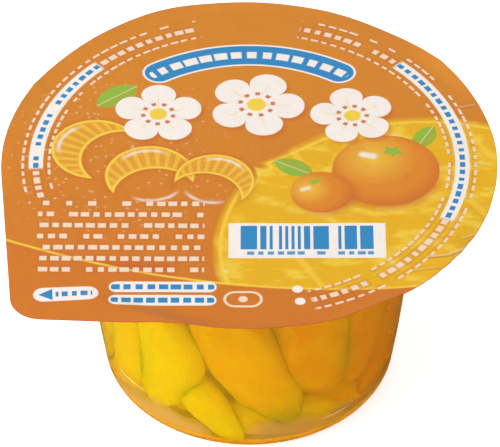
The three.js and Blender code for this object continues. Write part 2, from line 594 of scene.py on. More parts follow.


# Mandarin segments

# The segments by the wall: azimuth, height, gap to the wall, lean, nod, roll, size, tint and shade.
# Heights and gaps are in millimetres, angles in degrees. The tint and shade runs from pale, 0, to deep
# orange, 1: partly the fruit's own colour, partly painted light, pale on the lit left and deep on the shaded
# right.
WALL_SEGMENTS = (
    (-149, 21, 0.0, 2, 0, 10, 0.92, 0.10),
    (-129, 22, 0.0, -3, 0, 0, 0.88, 0.00),
    (-107, 26, 3.5, 10, 0, 30, 1.00, 0.32),
    (-83, 23, 0.0, 20, 0, 0, 1.22, 0.45),
    (-61, 23, 0.2, 16, 0, 10, 1.16, 0.66),
    (-109, 8.5, 0.0, 36, -30, 45, 0.72, 0.02),
    (-78, 6, 1.5, 84, -16, 60, 0.80, 0.32),
    (-34, 24, 0.3, -30, 0, 15, 1.08, 0.82),
    (-16, 22, 0.0, -24, 0, 0, 1.00, 0.92),
    (-1, 24, 0.0, -12, 0, 0, 0.98, 0.92),
    (13, 27, 0.0, 14, 0, 0, 0.98, 0.90),
    (27, 24, 0.0, -30, 0, 10, 0.98, 0.70),
    (50, 29, 0.0, 24, 0, 0, 0.96, 0.62),
    (76, 25, 0.0, -16, 0, 0, 1.00, 0.50),
    (100, 30, 0.0, 30, 0, -10, 0.98, 0.38),
    (126, 25, 0.0, -10, 0, 0, 1.00, 0.25),
    (150, 28, 0.0, 22, 0, 0, 0.96, 0.20),
    (172, 24, 0.0, -20, 0, 0, 0.98, 0.10),
    (193, 26, 0.0, 12, 0, 0, 0.94, 0.10),
    (-140, 6, 3.5, 84, -10, 60, 0.84, 0.20),
    (-62, 6, 1.5, 96, -10, 60, 0.84, 0.48),
    (-24, 8, 4.0, 88, 0, 60, 0.90, 0.80),
    (24, 8, 4.5, 84, 0, 60, 0.90, 0.75),
    (66, 8, 4.5, 92, 0, 60, 0.92, 0.55),
    (112, 8, 4.5, 88, 0, 60, 0.92, 0.35),
    (160, 8, 4.5, 92, 0, 60, 0.92, 0.20),
)

# The segments in the middle of the cup: how many, their distance from the axis and height in millimetres,
# and how far they lean either way in radians
CORE_COUNT = 11
CORE_REACH, CORE_HEIGHT, CORE_LEAN = (1, 15), (10, 44), 1.5

# A segment's stand-in while it is packed: five balls on a bent spine, with their places along half its
# length and their shares of its radius
BALL_PLACES = np.array([-0.8, -0.44, 0.0, 0.44, 0.8])
BALL_SHARES = np.array([0.54, 0.88, 1.0, 0.88, 0.54])
BALLS = len(BALL_PLACES)
SEGMENT_BEND = 4.2 * MM

# Packing: its rounds, and the share of an overlap that each of them clears
PACKING_ROUNDS = 240
PACKING_PUSH = 0.3

# How far a segment by the wall gives way, where one in the core gives way fully
WALL_EASE = 0.02

# The core's distance to the wall, and the depth of jelly over the fruit
CORE_MARGIN = 1.5 * MM
TOP_COVER = 0.6 * MM


def inner_wall(s, gap=0.0):
    """The cup's inside above its foot as (radius, height) rows, or the same a gap further in."""
    return inset(outer_skin(s), s.wall_thickness + gap)[FOOT_ROWS:]


def radius_at(skin, height):
    return np.interp(height, skin[:, 1], skin[:, 0])


def wall_start(s, j, azimuth, height, gap, lean, nod, roll):
    """Turn and place of a segment by the wall."""
    turn, roll = math.radians(azimuth), math.radians(roll)
    thickness = (abs(math.cos(roll)) * j.segment_depth + abs(math.sin(roll)) * j.segment_width) / 2
    reach = radius_at(inner_wall(s), height * MM) - thickness - gap * MM + j.press
    posture = Matrix.Rotation(turn, 3, "Z") @ Matrix.Rotation(math.radians(nod) + s.wall_taper, 3, "Y")
    posture = posture @ Matrix.Rotation(math.radians(lean), 3, "X") @ Matrix.Rotation(roll, 3, "Z")
    return np.array(posture), np.array([reach * math.cos(turn), reach * math.sin(turn), height * MM])


def core_start(draw):
    """Turn and place of a segment somewhere in the middle of the cup."""
    turn = draw.uniform(0, math.tau)
    reach, height = draw.uniform(*CORE_REACH) * MM, draw.uniform(*CORE_HEIGHT) * MM
    posture = Matrix.Rotation(turn, 3, "Z") @ Matrix.Rotation(draw.uniform(-CORE_LEAN, CORE_LEAN), 3, "X")
    posture = posture @ Matrix.Rotation(draw.uniform(0, math.tau), 3, "Z")
    return np.array(posture), np.array([reach * math.cos(turn), reach * math.sin(turn), height])


def pushed_apart(flat, radii, owner, ease):
    """Balls of different segments move away from one another where they overlap."""
    gap = flat[:, None] - flat[None]
    distance = np.linalg.norm(gap, axis=2) + 1e-9
    overlap = np.where(owner[:, None] == owner[None], 0, radii[:, None] + radii[None] - distance)
    push = np.clip(overlap, 0, None)[..., None] * gap / distance[..., None]
    return flat + PACKING_PUSH * push.sum(1) * ease[owner][:, None]


def held_in_cup(flat, radii, margin, s, j):
    """Balls stay over the base, under the jelly's surface and inside the wall by their margin."""
    high = j.fill_level - radii * 0.9 - TOP_COVER
    flat[:, 2] = np.clip(flat[:, 2], s.recess_depth + s.wall_thickness + radii * 0.9, high)
    out = np.hypot(flat[:, 0], flat[:, 1]) + 1e-9
    # The wall leans in downwards, so a ball meets it a little below its own middle
    limit = radius_at(inner_wall(s), flat[:, 2] - radii * 0.35) - radii + margin
    flat[:, :2] *= np.minimum(1, limit / out)[:, None]


def stiffened(shape, points, turn, radius):
    """The turn at which a stiff segment lies closest to its moved balls, and its balls at that turn."""
    middle = points.mean(0)
    rest = shape - shape.mean(0)
    u, _, vt = np.linalg.svd(rest.T @ (points - middle) + 1e-7 * turn.T * radius)
    flip = np.diag([1, 1, np.sign(np.linalg.det(vt.T @ u.T))])
    turn = vt.T @ flip @ u.T
    return turn, rest @ turn.T + middle


def packed_segments(s, j):
    """Places, turns, sizes, and tints with painted shade of all segments. The core's are pushed aside until
    all have room.
    """
    draw = np.random.default_rng(j.seed)
    starts = [wall_start(s, j, *row[:6]) for row in WALL_SEGMENTS]
    starts += [core_start(draw) for _ in range(CORE_COUNT)]
    sizes = np.array([row[6] for row in WALL_SEGMENTS] + [1.0] * CORE_COUNT)
    tints_and_shades = np.array([row[7] for row in WALL_SEGMENTS] + [0.5] * CORE_COUNT)
    ease = np.array([WALL_EASE] * len(WALL_SEGMENTS) + [1.0] * CORE_COUNT)
    margin = np.repeat(np.where(ease < 1, j.press, -CORE_MARGIN), BALLS)
    owner = np.repeat(np.arange(len(starts)), BALLS)

    radius = (j.segment_width + j.segment_depth) / 4
    bend = -SEGMENT_BEND * (BALL_PLACES**2 - 0.2)
    spine = np.column_stack([bend, np.zeros(BALLS), BALL_PLACES * j.segment_length / 2])
    shapes = [spine * size for size in sizes]
    radii = ((radius * BALL_SHARES)[None, :] * sizes[:, None]).ravel()
    points = np.array([shape @ turn.T + place for shape, (turn, place) in zip(shapes, starts)])
    turns = [turn for turn, _ in starts]
    for _ in range(PACKING_ROUNDS):
        flat = pushed_apart(points.reshape(-1, 3), radii, owner, ease)
        held_in_cup(flat, radii, margin, s, j)
        points = flat.reshape(points.shape)
        for k, shape in enumerate(shapes):
            turns[k], points[k] = stiffened(shape, points[k], turns[k], radius)
    places = np.array([points[k].mean(0) - turns[k] @ shapes[k].mean(0) for k in range(len(shapes))])
    return places, [Matrix(turn.tolist()).to_euler() for turn in turns], sizes, tints_and_shades


def segments_tree():
    """One crescent of fruit, set down at every point by the point's own turn, size, and tint with painted
    shade.
    """
    tree, nodes, start = new_geometry_tree(
        "Fruit Segments",
        {
            "Length": ("NodeSocketFloat", 0.033),
            "Depth": ("NodeSocketFloat", 0.0145),
            "Width": ("NodeSocketFloat", 0.012),
            "Bend": ("NodeSocketFloat", 0.0042),
            "Unevenness": ("NodeSocketFloat", 0.0024),
            "Unevenness Scale": ("NodeSocketFloat", 95.0),
            "Material": ("NodeSocketMaterial", None),
        },
    )
    ball = nodes.add("GeometryNodeMeshUVSphere", {"Segments": 48, "Rings": 32, "Radius": 1.0})
    unit = nodes.add("GeometryNodeInputPosition").outputs[0]
    depth, width, length = nodes.split(unit)
    # Fuller across than an ellipse, narrower towards its inner edge, slimmer and bent back at its tips
    full = ((depth * depth + width * width).root() + 1e-5) ** -0.16
    wedge = depth * 0.26 + 0.74
    arch = length * length
    bend = (arch - 0.2) * start.outputs["Bend"]
    x = depth * full * start.outputs["Depth"] * 0.5 * (1.0 - arch * 0.12) - bend
    y = width * full * wedge * start.outputs["Width"] * 0.5
    z = length * start.outputs["Length"] * 0.5
    named = {"Geometry": ball.outputs["Mesh"], "Name": "fruit_place", "Value": unit}
    kept = nodes.add("GeometryNodeStoreNamedAttribute", named, data_type="FLOAT_VECTOR", domain="POINT")
    shaped = {"Geometry": kept.outputs[0], "Position": nodes.vector(x, y, z)}
    crescent = nodes.add("GeometryNodeSetPosition", shaped)
    turn = nodes.add("GeometryNodeInputNamedAttribute", {"Name": "turn"}, data_type="FLOAT_VECTOR")
    size = nodes.add("GeometryNodeInputNamedAttribute", {"Name": "size"}, data_type="FLOAT")
    spin = nodes.add("FunctionNodeEulerToRotation", {0: turn.outputs[0]})
    set_down = {
        "Points": start.outputs["Geometry"],
        "Instance": crescent.outputs[0],
        "Rotation": spin.outputs[0],
        "Scale": size.outputs[0],
    }
    placed = nodes.add("GeometryNodeInstanceOnPoints", set_down)
    real = nodes.add("GeometryNodeRealizeInstances", {0: placed.outputs[0]})
    place = nodes.add("GeometryNodeInputPosition").outputs[0]
    cloud = nodes.field("ShaderNodeTexNoise", {"Vector": place, "Scale": start.outputs["Unevenness Scale"]})
    uneven = (cloud - 0.5) * start.outputs["Unevenness"]
    normal = nodes.add("GeometryNodeInputNormal").outputs[0]
    offset = nodes.add("ShaderNodeVectorMath", {0: normal, 3: uneven}, operation="SCALE").outputs[0]
    lumpy = nodes.add("GeometryNodeSetPosition", {"Geometry": real.outputs[0], "Offset": offset})
    rounded = nodes.add("GeometryNodeSetShadeSmooth", {0: lumpy.outputs[0]})
    close_tree(nodes, rounded.outputs[0], start.outputs["Material"])
    return tree


def juicy_fruit():
    j = filling()
    material, nodes, shader = shader_material("Peeled mandarin flesh")
    place = object_millimetres(nodes)
    # Painted light mixed with the fruit's own colour: pale where lit, deep orange where shaded
    tint = nodes.field("ShaderNodeAttribute", output="Fac", attribute_name="tint")
    grain = nodes.add("ShaderNodeAttribute", attribute_name="fruit_place").outputs["Vector"]
    cells = {"Vector": grain, "Scale": 9.0, "Randomness": 0.9}
    sac = nodes.field("ShaderNodeTexVoronoi", cells, "Distance", feature="SMOOTH_F1")
    blotch = noise(nodes, place, 0.16, detail=3.0)
    share = (tint + (blotch - 0.5) * 0.5).math("ADD", sac * 0.12 - 0.05, clamp=True)
    finish = {
        "Base Color": mix_colours(nodes, share, j.pale_fruit, j.deep_fruit),
        "Subsurface Weight": 0.8,
        "Subsurface Radius": (1.0, 0.5, 0.06),
        "Subsurface Scale": 5 * MM,
        "Roughness": 0.5,
        "Specular IOR Level": 0.12,
        "Normal": bumped(nodes, sac, 0.35, 0.5 * MM),
    }
    nodes.fill(shader, finish)
    return material


# Fruit pressed against the wall: its distance to the plastic and to the jelly's top and bottom, and the
# depth over which it gives
PRESSED_GAP, END_GAP, GIVE = 0.2 * MM, 0.3 * MM, 1.6 * MM


def kept_inside(mesh, s, j):
    """Presses fruit that would reach into the wall or out of the jelly flat against it."""
    co = np.zeros(len(mesh.vertices) * 3)
    mesh.vertices.foreach_get("co", co)
    co = co.reshape(-1, 3)
    co[:, 2] = np.clip(co[:, 2], s.recess_depth + s.wall_thickness + END_GAP, j.fill_level - END_GAP)
    out = np.hypot(co[:, 0], co[:, 1]) + 1e-9
    free = radius_at(inner_wall(s, PRESSED_GAP), co[:, 2]) - GIVE
    pressed = free + GIVE * (1 - np.exp(-np.maximum(out - free, 0) / GIVE))
    co[:, :2] *= np.where(out > free, pressed / out, 1)[:, None]
    mesh.vertices.foreach_set("co", co.ravel())
    mesh.update()


def point_cloud(name, places, **attributes):
    """Loose points with attributes, for a tree to set shapes down on."""
    mesh = mesh_from(name, places)
    for label, values in attributes.items():
        values = np.asarray(values, float)
        kind = "FLOAT_VECTOR" if values.ndim == 2 else "FLOAT"
        attribute = mesh.attributes.new(label, kind, "POINT")
        attribute.data.foreach_set("vector" if values.ndim == 2 else "value", values.ravel())
    return mesh


# Bubbles

# Radius of a bubble whose size is 1, in millimetres
BUBBLE_RADIUS = 0.32

# Bubbles spread over the wall: how many, their heights and distances to it in millimetres, and their sizes
LOOSE_BUBBLES = 26
LOOSE_HEIGHTS, LOOSE_GAPS, LOOSE_SIZES = (10, 38), (0.5, 1.6), (0.5, 1.3)

# Rows of fine pale beads low in the corner, which paint thin highlight lines there: height in millimetres,
# start and end azimuth in degrees
CORNER_GLINT_ROWS = ((10.2, -149.5, -134.5), (6.2, -60.0, -47.5), (7.5, 20.0, 31.0), (9.0, 112.0, 121.0))
GLINT_BEADS_PER_DEGREE = 6

# How far the rows lie past the wall's inner face, how far they stray in height, and their size at the middle
ROW_DEPTH, ROW_STRAY, ROW_SIZE = 0.5, 0.04, 0.36


def bubble_and_glint_cloud(s, draw):
    """Points for all bubbles by the wall and for the beads that paint highlight lines in the corner, with
    their sizes.
    """
    height, turn = draw.uniform(*LOOSE_HEIGHTS, LOOSE_BUBBLES), draw.uniform(0, 360, LOOSE_BUBBLES)
    gap, size = draw.uniform(*LOOSE_GAPS, LOOSE_BUBBLES), draw.uniform(*LOOSE_SIZES, LOOSE_BUBBLES)
    for level, start, end in CORNER_GLINT_ROWS:
        count = int((end - start) * GLINT_BEADS_PER_DEGREE)
        height = np.append(height, level + draw.uniform(-ROW_STRAY, ROW_STRAY, count))
        turn = np.append(turn, np.linspace(start, end, count))
        gap = np.append(gap, np.full(count, -ROW_DEPTH))
        swell = ROW_SIZE * np.sin(np.linspace(0.3, 2.8, count))
        size = np.append(size, swell + draw.uniform(0, 0.08, count))
    turn = np.radians(turn)
    reach = radius_at(inner_wall(s), height * MM) - gap * MM
    places = np.column_stack([reach * np.cos(turn), reach * np.sin(turn), height * MM])
    return point_cloud("bubble_places", places, size=size)


def bubbles_tree():
    """A small ball at every point, as large as the point says."""
    tree, nodes, start = new_geometry_tree(
        "Small Bubbles",
        {"Radius": ("NodeSocketFloat", BUBBLE_RADIUS * MM), "Material": ("NodeSocketMaterial", None)},
    )
    ball = nodes.add("GeometryNodeMeshIcoSphere", {"Radius": start.outputs["Radius"], "Subdivisions": 3})
    size = nodes.add("GeometryNodeInputNamedAttribute", {"Name": "size"}, data_type="FLOAT")
    set_down = {
        "Points": start.outputs["Geometry"],
        "Instance": ball.outputs["Mesh"],
        "Scale": size.outputs[0],
    }
    placed = nodes.add("GeometryNodeInstanceOnPoints", set_down)
    rounded = nodes.add("GeometryNodeSetShadeSmooth", {0: placed.outputs[0]})
    close_tree(nodes, rounded.outputs[0], start.outputs["Material"])
    return tree


def bubble_shine():
    material, nodes, shader = shader_material("Bubble in jelly")
    tone = noise(nodes, object_millimetres(nodes), 0.2)
    # Painted highlight: the pale colour paints the glint of each bubble and of the beads in the corner
    finish = {
        "Base Color": mix_colours(nodes, tone, (1.0, 0.86, 0.5), (1.0, 0.93, 0.7)),
        "Roughness": 0.08,
        "Specular IOR Level": 0.9,
    }
    nodes.fill(shader, finish)
    return material


# Lid film


def film_edge(f, angle):
    """Distance from the centre to the film's edge: a circle with one rounded tab between leaning sides."""
    half = math.pi / 4 - f.tab_lean
    off = np.abs((angle - f.tab_direction + math.pi) % math.tau - math.pi)
    centre = (f.radius - f.tab_corner) / math.cos(half)
    corner_end = math.atan2(f.tab_corner * math.sin(half), centre + f.tab_corner * math.cos(half))
    side = f.radius / np.cos(np.clip(half - off, 0, half))
    bow = np.sqrt(np.clip(f.tab_corner**2 - (centre * np.sin(np.minimum(off, corner_end))) ** 2, 0, None))
    corner = centre * np.cos(off) + bow
    return np.where(off < corner_end, corner, np.where(off < half, side, f.radius))


# Where the loose edge curls up: azimuth, width in degrees, share of the lift
EDGE_CURLS = (
    (-108.5, 9.0, 1.0),
    (-89.0, 14.0, 0.55),
    (-61.0, 8.0, 0.7),
    (37.0, 10.0, 0.6),
    (113.0, 20.0, 1.0),
)

# Narrow kinks in the loose edge: azimuth in degrees, height in millimetres, and the width that they share
EDGE_KINKS = ((-11.0, 0.3), (-17.5, -0.22), (3.0, 0.2), (38.0, 0.2), (152.0, 0.22))
KINK_WIDTH = 1.6

# Radius where the kinks begin and the length over which they grow, in millimetres
KINK_START, KINK_RISE = 46.5, 2

# The loose edge's waves: how many go round, their start in radians, share of the height
EDGE_WAVES = ((5, 0.7, 0.5), (9, 2.1, 0.3), (17, 0.3, 0.2))

# Soft ridges in the film near its rim: start, end, height and width in millimetres
RIDGES = (
    ((38.5, -26.6), (45.0, -24.0), 0.4, 0.9),
    ((35.4, -30.0), (44.0, -28.0), 0.22, 0.7),
    ((32.2, -33.4), (39.6, -32.2), 0.2, 0.7),
    ((42.6, 16.4), (47.2, 17.6), 0.2, 0.7),
)

# Sharp creases: middle, half length in millimetres, turn in degrees, strength
CREASES = (
    (37.7, -28.7, 2.6, 7, 1.0),
    (42.2, -26.9, 2.5, 28, 1.0),
    (35.0, -32.6, 2.6, 10, 0.5),
    (44.5, 16.6, 1.9, 14, 0.6),
    (46.6, -1.0, 1.5, -12, 0.5),
    (44.0, -22.6, 1.6, 30, 0.6),
)


def ridge(x, y, start, end, height, width):
    """A soft ridge between two points, in millimetres."""
    (ax, ay), (bx, by) = start, end
    dx, dy = bx - ax, by - ay
    share = np.clip(((x - ax) * dx + (y - ay) * dy) / (dx**2 + dy**2), 0, 1)
    distance = np.hypot(x - ax - share * dx, y - ay - share * dy)
    return height * np.exp(-((distance / width) ** 2)) * np.sin(np.pi * np.clip(share, 0.08, 0.92)) ** 0.5


def near_azimuth(angle, azimuth, width):
    """1 at an azimuth, falling to nothing over a width. Those two are in degrees, the angle in radians."""
    return np.exp(-(((angle - math.radians(azimuth)) / math.radians(width)) ** 2))


def film_height(f, s, x, y):
    """Height of the film's upper face above its sealed level, in metres."""
    radius, angle = np.hypot(x, y), np.arctan2(y, x)
    throat = s.throat_radius - s.wall_thickness
    inside = np.clip(1 - (radius / throat) ** 2, 0, 1)
    height = -f.sag * inside**0.8
    # A faint ripple over the jelly
    height += 0.05 * MM * np.sin(x / MM * 0.31 + 1.3) * np.sin(y / MM * 0.27 + 0.4) * inside**0.5
    loose = np.clip((radius - s.flange_radius) / (f.radius - s.flange_radius), 0, 4) ** 1.4
    waves = sum(share * np.sin(count * angle + start) for count, start, share in EDGE_WAVES)
    height += f.wave * waves * np.minimum(loose, 1.6)
    for azimuth, width, share in EDGE_CURLS:
        height += f.edge_lift * share * near_azimuth(angle, azimuth, width) * np.minimum(loose, 1.2)
    for azimuth, lift in EDGE_KINKS:
        kink = lift * MM * near_azimuth(angle, azimuth, KINK_WIDTH)
        height += kink * np.clip((radius / MM - KINK_START) / KINK_RISE, 0, 1)
    for start, end, lift, width in RIDGES:
        height += ridge(x / MM, y / MM, start, end, lift, width) * MM
    return height


# The film's grid: round rings by their radius in millimetres, then rings that turn into the edge's shape, and
# spokes by their azimuth in degrees, closer where the edge is creased
ROUND_RINGS = np.concatenate([np.arange(2, 30, 2), np.arange(30, 45.1, 0.5)])
EDGE_RINGS = 18
SPOKES = np.concatenate([np.arange(-50, 30, 0.4), np.arange(30, 310, 0.8)])

# Between the flange and the film's sealed face
SEAL_GAP = 0.03 * MM


def sheet_faces(spokes, rings):
    """Faces of a round sheet with a middle point: its upper side, its lower side and its rim."""
    count, last = 1 + rings * spokes, 1 + (rings - 1) * spokes
    upper, lower, rim = [], [], []
    for k in range(spokes):
        n = (k + 1) % spokes
        upper.append((0, 1 + k, 1 + n))
        lower.append((count, count + 1 + n, count + 1 + k))
        for a in range(1, last, spokes):
            b = a + spokes
            upper.append((a + k, b + k, b + n, a + n))
            lower.append((count + a + k, count + a + n, count + b + n, count + b + k))
        rim.append((last + k, count + last + k, count + last + n, last + n))
    return upper, lower, rim


def film_mesh(f, s):
    """A closed thin sheet on a polar grid that follows the edge of the tab."""
    angle = np.radians(SPOKES)
    spokes = len(angle)
    edge = film_edge(f, angle)
    inner = ROUND_RINGS[-1] * MM
    radii = [np.full(spokes, ring) for ring in ROUND_RINGS * MM]
    radii += [inner + (edge - inner) * share for share in np.linspace(0, 1, EDGE_RINGS + 1)[1:]]
    radii = np.array(radii)
    x, y = radii * np.cos(angle), radii * np.sin(angle)
    level = s.flange_top + f.thickness + SEAL_GAP
    top = np.dstack([x, y, level + film_height(f, s, x, y)]).reshape(-1, 3)
    middle = np.array([[0, 0, level + film_height(f, s, np.zeros(1), np.zeros(1))[0]]])
    upper = np.vstack([middle, top])
    lower = upper - np.array([0, 0, f.thickness])
    printed, bases, rim = sheet_faces(spokes, len(radii))
    printed += rim
    mesh = mesh_from("lid_film_print", np.vstack([upper, lower]), printed + bases)
    mesh.polygons.foreach_set("material_index", [0] * len(printed) + [1] * len(bases))
    mesh.polygons.foreach_set("use_smooth", [True] * len(mesh.polygons))
    # The film's two edges stay sharp
    border = {tuple(sorted(pair)) for a, b, c, d in rim for pair in ((a, d), (b, c))}
    for e in mesh.edges:
        if tuple(sorted(e.vertices)) in border:
            e.use_edge_sharp = True
    margin = mesh.attributes.new("margin", "FLOAT", "POINT")
    inward = np.concatenate([[f.radius], (edge - radii).ravel()]) / MM
    margin.data.foreach_set("value", np.tile(inward, 2))
    return mesh


def ball(u, v, radius):
    """Signed distance to a circle round the origin of a motif's frame."""
    return (u * u + v * v).root() - radius


def round_bar(u, v, half_length, half_height):
    """Signed distance to a box with round ends."""
    past = (abs(u) - (half_length - half_height)).most(0.0)
    return (past * past + v * v).root() - half_height


def plain_box(u, v, half_width, half_height):
    return (abs(u) - half_width).most(abs(v) - half_height)


class Print:
    """Lays flat inks over one another. Places and sizes are in millimetres on the lid."""

    def __init__(self, nodes, place, ground):
        self.nodes = nodes
        self.x, self.y, _ = nodes.split(place)
        self.flat = nodes.vector(self.x, self.y, 0.0)
        self.radius = (self.x * self.x + self.y * self.y).root()
        self.bearing = self.x.angle_to(self.y)
        self.colour = ground

    def lay(self, ink, share, opacity=1.0):
        """Covers the print with an ink, named as its setting is, where share is 1."""
        if opacity != 1.0:
            share = share * opacity
        self.colour = mix_colours(self.nodes, share, self.colour, getattr(inks(), ink))

    def inside(self, distance, soft=0.14):
        """1 inside a shape whose signed distance is given, 0 outside, with an edge of that softness."""
        return distance.math("MULTIPLY_ADD", -1 / soft, 0.5, clamp=True)

    def stamp(self, ink, distance, soft=0.14, opacity=1.0, area=None):
        """Lays an ink inside a shape, and only within an area where one is given."""
        share = self.inside(distance, soft)
        self.lay(ink, share if area is None else share * area, opacity)

    def local(self, x, y, turn=0.0):
        """Coordinates in a motif's own frame."""
        if not turn:
            return self.x - x, self.y - y
        inputs = {"Vector": self.flat, "Location": (x, y, 0), "Rotation": (0, 0, math.radians(turn))}
        node = self.nodes.add("ShaderNodeMapping", inputs, vector_type="TEXTURE")
        return self.nodes.split(node.outputs[0])[:2]

    def random(self, a, b, c):
        """A random number for each cell."""
        cell = {"Vector": self.nodes.vector(a, b, c)}
        return self.nodes.field("ShaderNodeTexWhiteNoise", cell, "Value", noise_dimensions="3D")

    def dashes(self, along, across, pitch, row_pitch, thickness, fill, seed):
        """Signed distance to rows of short marks of uneven length, some of them left out."""
        row = (across / row_pitch).floor()
        height = abs((across / row_pitch).fraction() - 0.5) * row_pitch
        moved = (along + self.random(row, seed, 3.0) * pitch) / pitch
        share = self.random(moved.floor(), row, seed)
        spot = abs(moved.fraction() - 0.5) * pitch
        mark = (height - thickness / 2).most(spot - (share * 0.2 + 0.25) * pitch)
        # A mark that is left out counts as far away
        return mark + share.above(fill) * 9.0

    def one_row(self, along, across, pitch, thickness, fill, seed):
        """Signed distance to a single row of such marks, centred on the line across = 0."""
        return self.dashes(along, across + 10.0, pitch, 20.0, thickness, fill, seed)


def blossom(paper, x, y, size, turn):
    """Five rounded petals with a soft shadow, a golden heart and short stamens."""
    shadow, petals = (0.6, -1.0, "ember", 0.5, 1.3), (0.0, 0.0, "white", 1.0, 0.16)
    for dx, dy, tone, opacity, soft in (shadow, petals):
        u, v = paper.local(x + dx, y + dy, turn)
        radius = (u * u + v * v).root()
        angle = v.angle_to(u) * 2.5
        reach = abs(angle.cosine()) ** 0.42 * (size * 0.5) + size * 0.5
        paper.stamp(tone, radius - reach, soft, opacity)
    vein = paper.inside(abs(angle.sine()) * radius - 0.3, 0.6) * paper.inside(radius - size * 0.66, 2.0)
    paper.lay("gold", vein, 0.6)
    stamens = paper.inside(abs(radius - size * 0.34) - 0.45, 0.3) * (angle * 3.6).sine().above(0.2)
    paper.lay("ember", stamens, 0.9)
    paper.stamp("gold", radius - size * 0.2, 0.3)


def leaf(paper, x, y, size, turn):
    """A pointed leaf with a paler rib."""
    u, v = paper.local(x, y, turn)
    shape = ball(u, v - size * 0.55, size).most(ball(u, v + size * 0.55, size))
    covered = paper.inside(shape)
    paper.lay("leaf", covered)
    paper.stamp("cream", abs(v) - 0.12, 0.2, 0.7, area=covered)
    paper.stamp("low_orange", v, 0.4, 0.16, area=covered)


def whole_mandarin(paper, x, y, size, turn):
    """A round fruit with a lit side, pores and a stalk."""
    u, v = paper.local(x, y, turn)
    paper.stamp("ember", ball(u - 0.5, v + 1.2, size), 2.0, 0.55)
    body = paper.inside(ball(u, v, size))
    paper.lay("fruit", body)
    paper.stamp("gold", ball(u + size * 0.3, v - size * 0.3, size * 0.35), size * 0.9, 0.8, area=body)
    paper.stamp("ember", -ball(u + size * 0.1, v - size * 0.12, size * 0.98), size * 0.4, 0.65, area=body)
    pores = paper.nodes.field("ShaderNodeTexVoronoi", {"Vector": paper.flat, "Scale": 1.1}, "Distance")
    paper.stamp("ember", pores - 0.14, 0.12, 0.4, area=body)
    stalk_u, stalk_v = u, v - size * 0.56
    angle = stalk_v.angle_to(stalk_u) * 2.5
    paper.stamp("leaf", ball(stalk_u, stalk_v * 1.5, size * 0.1) - abs(angle.cosine()) * (size * 0.1), 0.3)
    glint = round_bar(u + size * 0.42, v - size * 0.34, size * 0.17, size * 0.07)
    paper.stamp("white", glint, 0.8, 0.85)


def crescent(paper, x, y, size, turn):
    """One peeled segment with a pale edge, fine pulp streaks and a lit back."""
    u, v = paper.local(x, y, turn)
    shape = ball(u, v, size).most(-ball(u, v + size * 0.72, size * 0.95))
    paper.stamp("ember", shape - 0.5, 1.6, 0.5)
    paper.stamp("gold", shape)
    flesh = paper.inside(shape + size * 0.07, 0.4)
    paper.lay("fruit", flesh, 0.75)
    streak = ((v + size * 1.1).angle_to(u) * 46.0).sine()
    paper.lay("gold", flesh * streak.above(0.2), 0.5)
    lit = paper.inside(abs((u * u + v * v).root() - size * 0.84) - 0.3, 0.7)
    paper.lay("white", lit * paper.inside(abs(u) - size * 0.45, 2.0), 0.8)


# Each motif with its places on the lid: x, y and size in millimetres, turn in degrees
FRUIT_MOTIFS = (
    (crescent, -31.0, 4.0, 9.0, 62),
    (crescent, -20.0, -4.0, 9.0, 12),
    (crescent, -7.0, -5.5, 8.0, -22),
    (leaf, -27.0, 20.5, 6.2, 38),
    (leaf, 9.0, -1.5, 5.4, 150),
    (leaf, 35.5, 7.5, 4.8, 62),
    (whole_mandarin, 27.5, -2.5, 10.8, -14),
    (whole_mandarin, 14.5, -9.0, 6.2, 22),
)
BLOSSOMS = ((-18.5, 15.0, 9.0, 18), (1.5, 18.0, 9.8, -4), (21.0, 14.5, 8.6, 30))

# Radii of the round band near the back edge and of the belt of marks along the rim
BAND_RADIUS = 33.5
BELT_RADIUS = 43.0


def golden_field(paper, nodes):
    """Flecks on the left of the ground, then the golden field with its arcs and drops of juice."""
    inside, local = paper.inside, paper.local
    pulp = nodes.field("ShaderNodeTexVoronoi", {"Vector": paper.flat, "Scale": 0.62}, "Distance")
    flecks = inside(pulp - 0.17, 0.14)
    left = inside(ball(*local(-26.0, 2.0), 24.0), 9.0)
    paper.lay("cream", flecks * left, 0.42)
    paper.stamp("ember", plain_box(*local(-31.0, -31.5, -7.0), 16.0, 2.6), 3.0, 0.7)

    field = ball(*local(34.0, -26.0), 40.0) + (paper.bearing * 7.0).sine() * 0.8
    golden = inside(field, 1.6)
    paper.lay("amber", golden)
    ripple = (ball(*local(60.0, 26.0), 0.0) * 0.34 + (paper.x * 0.21).sine() * 1.6).sine()
    paper.stamp("gold", 0.93 - ripple, 0.12, 0.55, area=golden)
    paper.stamp("gold", abs(field + 1.1) - 0.35, 0.5, 0.85)
    juice = noise(nodes, paper.flat, 0.11, detail=4.0, roughness=0.62, stretch=(0.7, 1.6, 1.0))
    paper.stamp("gold", 0.56 - juice, 0.1, 0.75, area=golden)
    paper.stamp("cream", 0.665 - juice, 0.03, 0.8, area=golden)


def fruit_and_blossoms(paper):
    for motif, *place in FRUIT_MOTIFS:
        motif(paper, *place)
    low = 158.0 - ball(*paper.local(18.0, 120.0), 0.0)
    paper.stamp("low_orange", low, 0.3)
    paper.stamp("gold", abs(low) - 0.3, 0.3, 0.9)
    for place in BLOSSOMS:
        blossom(paper, *place)


